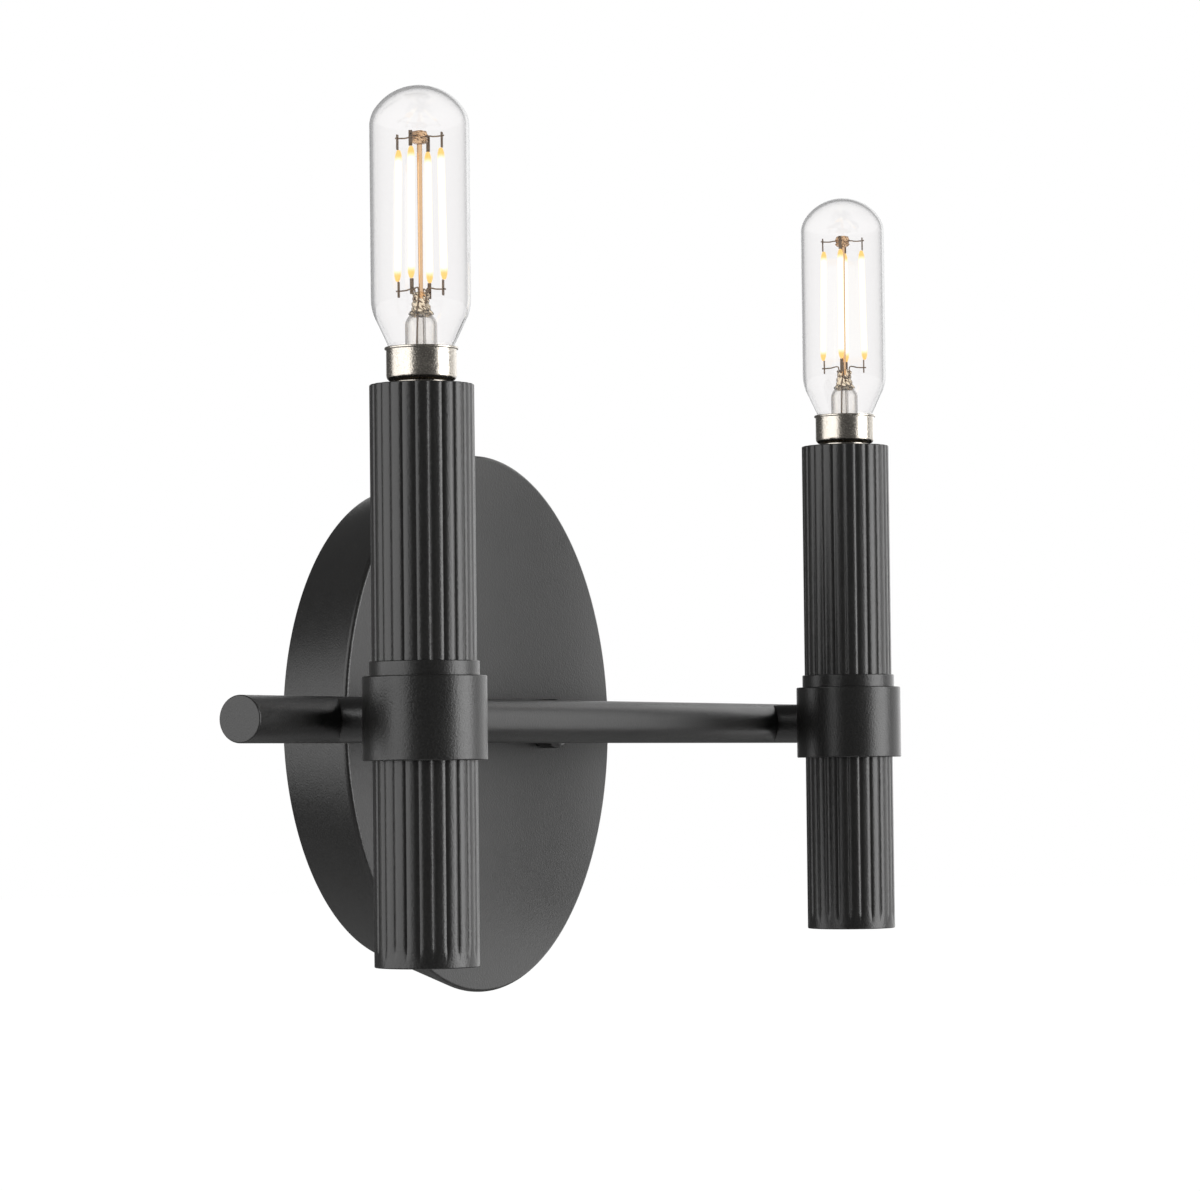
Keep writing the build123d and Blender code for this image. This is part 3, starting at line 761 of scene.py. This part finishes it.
def makeLeads(hand, skirtTop):
    # flat posts above and below each filament, arms from the hub, wires from the press and feeds below it
    low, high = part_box(f"{hand}_bulb_filaments")
    r, w, t = leads["ringRadius"], leads["postWidth"] / 2, leads["postThickness"] / 2
    bottom, top = low.z - leads["postLength"], high.z + leads["postLength"]
    arm = pathFrom(high.z + leads["armRise"], leads["armPath"])
    wire = pathFrom(skirtTop, leads["wirePath"])
    one = joined("oneLead", [
        boxMesh((r - t, -w, high.z), (r + t, w, top), leads["postBevel"]),
        boxMesh((r - t, -w, bottom), (r + t, w, low.z), leads["postBevel"]),
        wireMesh("arm", arm, leads["wireRadius"]),
        wireMesh("wire", wire, leads["wireRadius"]),
    ])
    parts = [ringOf(one, hand, "lead_wire")]
    for side in (-1, 1):
        parts.append(wireMesh("feed", pathFrom(skirtTop, leads["feedPath"], side), leads["feedRadius"]))
    mesh = joined("leads", parts)
    mesh.transform(overAxis(f"{hand}_bulb_glass"))
    addPiece(f"{hand}_bulb_wires", mesh, "lead_wire", f"{hand}_bulb", [f"{hand}_bulb_leads"])
    return high.z + leads["hubRise"]


# Inner glass of the bulb

# a slow, a cross and a fine wave, and the fine one's share
lumpWaves = (Vector((3.1, 0, 1.3)), Vector((0, 2.7, -0.8)), Vector((2.1, -1.7, 5.3)))
fineLumpShare = 0.6


def lumpy(mesh, look):
    # a fixed wavy surface, as on glass that was pinched while soft
    for vertex in mesh.vertices:
        spot = vertex.co / look["lumpSize"]
        slow, cross, fine = (wave.dot(spot) for wave in lumpWaves)
        swell = math.sin(slow) * math.cos(cross) + fineLumpShare * math.sin(fine)
        vertex.co += Vector((vertex.co.x, vertex.co.y, 0)) / look["radius"] * swell * look["lumps"]


def addInnerGlass(hand, name, mesh, finish):
    mesh.transform(overAxis(f"{hand}_bulb_glass"))
    addPiece(f"{hand}_bulb_{name}", mesh, "stem_clear_glass", f"{hand}_bulb", (), softAngle, finish)


hub = dict(radius=1.6 * mm, height=2.8 * mm, rounding=0.7 * mm, rows=16, lumps=0.22 * mm,
           lumpSize=0.6 * mm, segments=64)


def makeHub(hand, bottom):
    # bead under the crown that holds the arms
    radius, edge, top = hub["radius"], hub["rounding"], bottom + hub["height"]
    rows = rowsBetween(bottom + edge * holdReach, top - edge * holdReach, hub["rows"])[1:-1]
    bead = [(0, bottom, 0), (radius, bottom, edge)] + [(radius, z, 0) for z in rows]
    bead += [(radius, top, edge), (0, top, 0)]
    mesh = turnedMesh("hub", roundedOutline(bead, closed=False), hub["segments"], closed=False)
    lumpy(mesh, hub)
    addInnerGlass(hand, "hub", mesh, "glow_tinted_glass")


stem = dict(bellRadius=3.4 * mm, wall=0.45 * mm, foot=-2.0 * mm, flare=6.0 * mm, flareHeight=1.35 * mm,
            flareRounding=0.4 * mm, domeBase=4.6 * mm, domeTop=7.8 * mm, domeRows=14, pumpRadius=1.0 * mm,
            pumpWall=0.3 * mm, pumpSegments=32, segments=64)


def makeStem(hand, skirtTop):
    # bell-shaped dome with the pump tube inside
    bell, wall, pump = stem["bellRadius"], stem["wall"], stem["pumpRadius"]
    foot, base, top = (skirtTop + stem[name] for name in ("foot", "domeBase", "domeTop"))
    arc = [(math.cos(a), math.sin(a)) for a in rowsBetween(0, math.pi / 2, stem["domeRows"])[:-1]]
    outside = [(stem["flare"], foot, 0), (stem["flare"], foot + wall, 0)]
    outside += [(bell, foot + stem["flareHeight"], stem["flareRounding"])]
    outside += [(bell * c, base + (top - base) * s, 0) for c, s in arc] + [(0, top, 0)]
    inside = [((bell - wall) * c, base + (top - wall - base) * s, 0) for c, s in arc]
    inside = [(0, top - wall, 0)] + inside[::-1] + [(bell - wall, foot, 0)]
    dome = turnedMesh("dome", roundedOutline(outside + inside), stem["segments"])
    pumpBore = pump - stem["pumpWall"]
    tube = [(pump, foot), (pump, top - wall), (pumpBore, top - wall), (pumpBore, foot)]
    mesh = joined("stem", [dome, turnedMesh("pump", tube, stem["pumpSegments"])])
    node = f"{hand}_bulb_stem"
    mesh.transform(overAxis(f"{hand}_bulb_glass"))
    addPiece(f"{node}_glass", mesh, "stem_clear_glass", f"{hand}_bulb", [node], softAngle)


press = dict(radius=1.75 * mm, top=11.7 * mm, sink=0.8 * mm, flare=0.8 * mm, flareCurve=4,
             rounding=0.7 * mm, rows=20, lumps=0.18 * mm, lumpSize=0.9 * mm, segments=64)


def makePress(hand, skirtTop):
    # pinched glass round the wires, on top of the stem
    radius, flare, edge = press["radius"], press["flare"], press["rounding"]
    low, top = skirtTop + stem["domeTop"] - press["sink"], skirtTop + press["top"]
    bead = [(0, low, 0), (radius + flare, low, 0)]
    for z in rowsBetween(low, top - edge * holdReach, press["rows"])[1:-1]:
        bead.append((radius + flare * ((top - z) / (top - low)) ** press["flareCurve"], z, 0))
    bead += [(radius, top, edge), (0, top, 0)]
    mesh = turnedMesh("press", roundedOutline(bead, closed=False), press["segments"], closed=False)
    lumpy(mesh, press)
    addInnerGlass(hand, "press", mesh, "glow_tinted_press_glass")


rod = dict(footRadius=0.46 * mm, headRadius=0.58 * mm, sink=1.5 * mm, segments=24)


def makeRod(hand, skirtTop, hubBottom):
    foot = skirtTop + press["top"] - rod["sink"]
    line = [(0, foot), (rod["footRadius"], foot), (rod["headRadius"], hubBottom), (0, hubBottom)]
    mesh = turnedMesh("rod", line, rod["segments"], closed=False)
    addInnerGlass(hand, "rod", mesh, "glow_tinted_glass")


# Filaments

# tip is (radius, distance from the end); between the two lit distances from an end, amber turns to white
filament = dict(tip=((0, 0), (0.315 * mm, 0.08 * mm), (0.45 * mm, 0.3 * mm), (0.6808 * mm, 1.14 * mm),
                     (0.74 * mm, 1.9 * mm)),
                splay=0.5 * mm, segments=24, lit=(1.14 * mm, 2.85 * mm), glow=1.3,
                coreGlow=rgb(1.0, 0.97, 0.88), sideGlow=rgb(1.0, 0.84, 0.50), sideBlend=0.4,
                tipGlow=rgb(0.74, 0.44, 0.13), stickColour=rgb(0.30, 0.27, 0.20),
                tipColour=rgb(0.45, 0.30, 0.08), roughness=0.5)


def filamentMaterial(low, high):
    # white-hot along the stick, amber towards each end
    material, tree, shader = blankMaterial("filament_finish")
    place = addNode(tree, "ShaderNodeTexCoord")
    split = addNode(tree, "ShaderNodeSeparateXYZ")
    tree.links.new(place.outputs["Object"], split.inputs[0])
    fromLow = calc(tree, "SUBTRACT", split.outputs["Z"], low)
    fromHigh = calc(tree, "SUBTRACT", high, split.outputs["Z"])
    lit = spread(tree, calc(tree, "MINIMUM", fromLow, fromHigh), *filament["lit"], smooth=True)
    facing = addNode(tree, "ShaderNodeLayerWeight")
    facing.inputs["Blend"].default_value = filament["sideBlend"]
    glow = blendColour(tree, facing.outputs["Facing"], filament["coreGlow"], filament["sideGlow"])
    feed(tree, shader.inputs["Emission Color"], blendColour(tree, lit, filament["tipGlow"], glow))
    shader.inputs["Emission Strength"].default_value = filament["glow"]
    phosphor = blendColour(tree, lit, filament["tipColour"], filament["stickColour"])
    feed(tree, shader.inputs["Base Color"], phosphor)
    shader.inputs["Roughness"].default_value = filament["roughness"]
    return material


def makeFilaments(hand):
    node = f"{hand}_bulb_filaments"
    low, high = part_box(node)
    tip = filament["tip"]
    outline = [(x, low.z + z) for x, z in tip] + [(x, high.z - z) for x, z in reversed(tip)]
    one = turnedMesh("filament", outline, filament["segments"], closed=False)
    middle = (low.z + high.z) / 2
    for vertex in one.vertices:
        lean = (middle - vertex.co.z) / (high.z - low.z)
        vertex.co.x += leads["ringRadius"] + filament["splay"] * lean
    mesh = ringOf(one, hand, "filament_phosphor")
    mesh.transform(overAxis(f"{hand}_bulb_glass"))
    addPiece(f"{hand}_bulb_sticks", mesh, "filament_phosphor", f"{hand}_bulb", [node], softAngle)


stickLow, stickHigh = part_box("left_bulb_filaments")
materials["filament_phosphor"] = filamentMaterial(stickLow.z, stickHigh.z)
for hand in hands:
    skirtTop = makeBulbBase(hand)
    makeEnvelope(hand, skirtTop)
    hubBottom = makeLeads(hand, skirtTop)
    makeHub(hand, hubBottom)
    makeStem(hand, skirtTop)
    makePress(hand, skirtTop)
    makeRod(hand, skirtTop, hubBottom)
    makeFilaments(hand)
print("bulbs made")


# Threaded hardware inside the canopy

# runOut is in turns
studs = dict(pitch=0.79375 * mm, depth=0.35 * mm, bore=0.0, runOut=0.6, rowsPerTurn=8, segments=24)
nipple = dict(pitch=1.0 * mm, depth=0.4 * mm, bore=2.75 * mm, runOut=0.6, rowsPerTurn=8, segments=48)


def threadedRod(length, radius, look):
    count = int(length / look["pitch"] * look["rowsPerTurn"])
    rows = [(radius, z) for z in rowsBetween(0, length, count)]
    outline = [(look["bore"], 0)] + rows + [(look["bore"], length)]
    plain = turnedMesh("threaded", outline, look["segments"], closed=look["bore"] > 0)
    return bakeNodes(plain, thread, {
        "Pitch": look["pitch"],
        "Depth": look["depth"],
        "Start": 0.0,
        "End": length,
        "Run Out": look["pitch"] * look["runOut"],
        "Material": materials["zinc_steel"],
    })


def makeThreadedHardware():
    low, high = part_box("canopy_studs")
    radius = (high.z - low.z) / 2
    pair = []
    for x in (low.x + radius, high.x - radius):
        stud = threadedRod(high.y - low.y, radius, studs)
        stud.transform(Matrix.Translation((x, high.y, 0)) @ outFromWall)
        pair.append(stud)
    mesh = joined("studs", pair)
    addPiece("canopy_stud_threads", mesh, "zinc_steel", "fixture", ["canopy_studs"], softAngle)
    low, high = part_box("stem_nipple")
    mesh = threadedRod(high.y - low.y, (high.z - low.z) / 2, nipple)
    mesh.transform(Matrix.Translation((0, high.y, 0)) @ outFromWall)
    addPiece("stem_nipple_threads", mesh, "zinc_steel", "fixture", ["stem_nipple"], softAngle)


makeThreadedHardware()
print("threads made")


# Finishes of the nodes that stay as packed

for row in frame["record"]["subparts"]:
    for holder in nodes[row["node"]].material_slots:
        holder.material = materials[row["material_slot"]]


# Camera

view = dict(place=(-0.89377, -0.52164, -0.01048), yaw=62.301, pitch=2.265, roll=-0.638,
            focalPixels=4314.1, frameWidth=1200, sensorWidth=36, clipStart=0.01)


def makeCamera():
    yaw, pitch, roll = (math.radians(view[name]) for name in ("yaw", "pitch", "roll"))
    ahead = Vector((math.sin(yaw) * math.cos(pitch), math.cos(yaw) * math.cos(pitch), math.sin(pitch)))
    right = Vector((math.cos(yaw), -math.sin(yaw), 0))
    up = right.cross(ahead)
    turnedRight = right * math.cos(roll) + up * math.sin(roll)
    turnedUp = up * math.cos(roll) - right * math.sin(roll)
    data = bpy.data.cameras.new("photoCamera")
    data.sensor_fit = "HORIZONTAL"
    data.sensor_width = view["sensorWidth"]
    data.lens = view["focalPixels"] / view["frameWidth"] * data.sensor_width
    data.clip_start = view["clipStart"]
    camera = addObject("photoCamera", data)
    axes = Matrix((turnedRight, turnedUp, -ahead)).transposed()
    camera.matrix_world = Matrix.Translation(view["place"]) @ axes.to_4x4()
    scene.camera = camera


# Soft boxes

# azimuth is in degrees from the front, towards the right; height is above the light's middle
boxes = (
    dict(name="frontBox", azimuth=14, height=0.15, distance=1.3, width=0.95, tall=1.2, radiance=5.6),
    dict(name="rightBox", azimuth=74, height=0.08, distance=1.4, width=1.5, tall=1.2, radiance=1.22),
    dict(name="leftBox", azimuth=-112, height=0.3, distance=1.5, width=1.2, tall=1.5, radiance=2.6),
    dict(name="backBox", azimuth=-149, height=0.0, distance=1.5, width=0.85, tall=1.0, radiance=2.3),
)


def makeSoftBoxes():
    # the clear glass is left out of the lamps' light, so that it shows the white surroundings and no lamp
    aim = (cadLow + cadHigh) / 2
    clear = bpy.data.collections.new("clearGlass")
    for hand in hands:
        clear.objects.link(scene.objects[f"{hand}_bulb_envelope"])
    for member in clear.collection_objects:
        member.light_linking.link_state = "EXCLUDE"
    for box in boxes:
        angle = math.radians(box["azimuth"])
        out = Vector((math.sin(angle), -math.cos(angle), 0))
        data = bpy.data.lights.new(box["name"], "AREA")
        data.shape = "RECTANGLE"
        data.size, data.size_y = box["width"], box["tall"]
        data.energy = box["radiance"] * math.pi * box["width"] * box["tall"]
        lamp = addObject(box["name"], data)
        lamp.location = aim + out * box["distance"] + Vector((0, 0, box["height"]))
        lamp.rotation_euler = (aim - lamp.location).to_track_quat("-Z", "Y").to_euler()
        lamp.visible_camera = False
        lamp.light_linking.receiver_collection = clear


# Surroundings

# edges are pairs between which a tone changes: the cosine from the backdrop's middle, a ray's steepness
surroundings = dict(soft=rgb(0.12, 0.12, 0.12), white=rgb(1, 1, 1), backdropYaw=74,
                    backdropEdge=(0.84, 0.93), steepEdge=(0.35, 0.75), steepTone=0.75, bouncedTone=0.5)
floorLook = dict(height=-1.2, radius=40, colour=rgb(0.82, 0.82, 0.82), roughness=0.8, glow=1.12,
                 glowShare=0.9, segments=64)
anyBounce = 0.5  # a ray's count above this means one or more


def makeWorld():
    # white for the camera, for glass and for the backdrop's mirror image; a soft fill for the rest
    world = bpy.data.worlds.new("studio")
    scene.world = world
    world.use_nodes = True
    tree = world.node_tree
    path = addNode(tree, "ShaderNodeLightPath").outputs
    direction = addNode(tree, "ShaderNodeTexCoord").outputs["Generated"]
    backdrop = math.radians(surroundings["backdropYaw"])
    away = addNode(tree, "ShaderNodeVectorMath", operation="DOT_PRODUCT")
    tree.links.new(direction, away.inputs[0])
    away.inputs[1].default_value = (math.sin(backdrop), math.cos(backdrop), 0)
    behind = spread(tree, away.outputs["Value"], *surroundings["backdropEdge"], smooth=True)
    mirrored = calc(tree, "MULTIPLY", path["Is Glossy Ray"], behind)
    split = addNode(tree, "ShaderNodeSeparateXYZ")
    tree.links.new(direction, split.inputs[0])
    steep = calc(tree, "ABSOLUTE", split.outputs["Z"])
    steepTone = spread(tree, steep, *surroundings["steepEdge"], 1.0, surroundings["steepTone"], smooth=True)
    bounced = calc(tree, "GREATER_THAN", path["Glossy Depth"], anyBounce)
    bouncedTone = spread(tree, bounced, 0.0, 1.0, 1.0, surroundings["bouncedTone"])
    throughGlass = calc(tree, "GREATER_THAN", path["Transmission Depth"], anyBounce)
    inGlass = calc(tree, "MULTIPLY", throughGlass, calc(tree, "MULTIPLY", steepTone, bouncedTone))
    seen = calc(tree, "MAXIMUM", calc(tree, "MAXIMUM", path["Is Camera Ray"], mirrored), inGlass)
    colour = blendColour(tree, seen, surroundings["soft"], surroundings["white"])
    feed(tree, tree.nodes["Background"].inputs["Color"], colour)


def makeFloor():
    mesh = turnedMesh("floor", [(0, 0), (floorLook["radius"], 0)], floorLook["segments"], closed=False)
    floor = addObject("floor", mesh)
    floor.location.z = floorLook["height"]
    material, tree, shader = blankMaterial("floor_white")
    shader.inputs["Base Color"].default_value = floorLook["colour"]
    shader.inputs["Roughness"].default_value = floorLook["roughness"]
    path = addNode(tree, "ShaderNodeLightPath").outputs
    seen = calc(tree, "MAXIMUM", path["Is Camera Ray"], path["Is Transmission Ray"])
    glow = addNode(tree, "ShaderNodeEmission")
    glow.inputs["Strength"].default_value = floorLook["glow"]
    mix = addNode(tree, "ShaderNodeMixShader")
    feed(tree, mix.inputs["Fac"], calc(tree, "MULTIPLY", seen, floorLook["glowShare"]))
    tree.links.new(shader.outputs[0], mix.inputs[1])
    tree.links.new(glow.outputs[0], mix.inputs[2])
    tree.links.new(mix.outputs[0], tree.nodes["Material Output"].inputs["Surface"])
    mesh.materials.append(material)


makeCamera()
makeSoftBoxes()
makeWorld()
makeFloor()
scene.view_settings.view_transform = "Standard"
print("studio set")
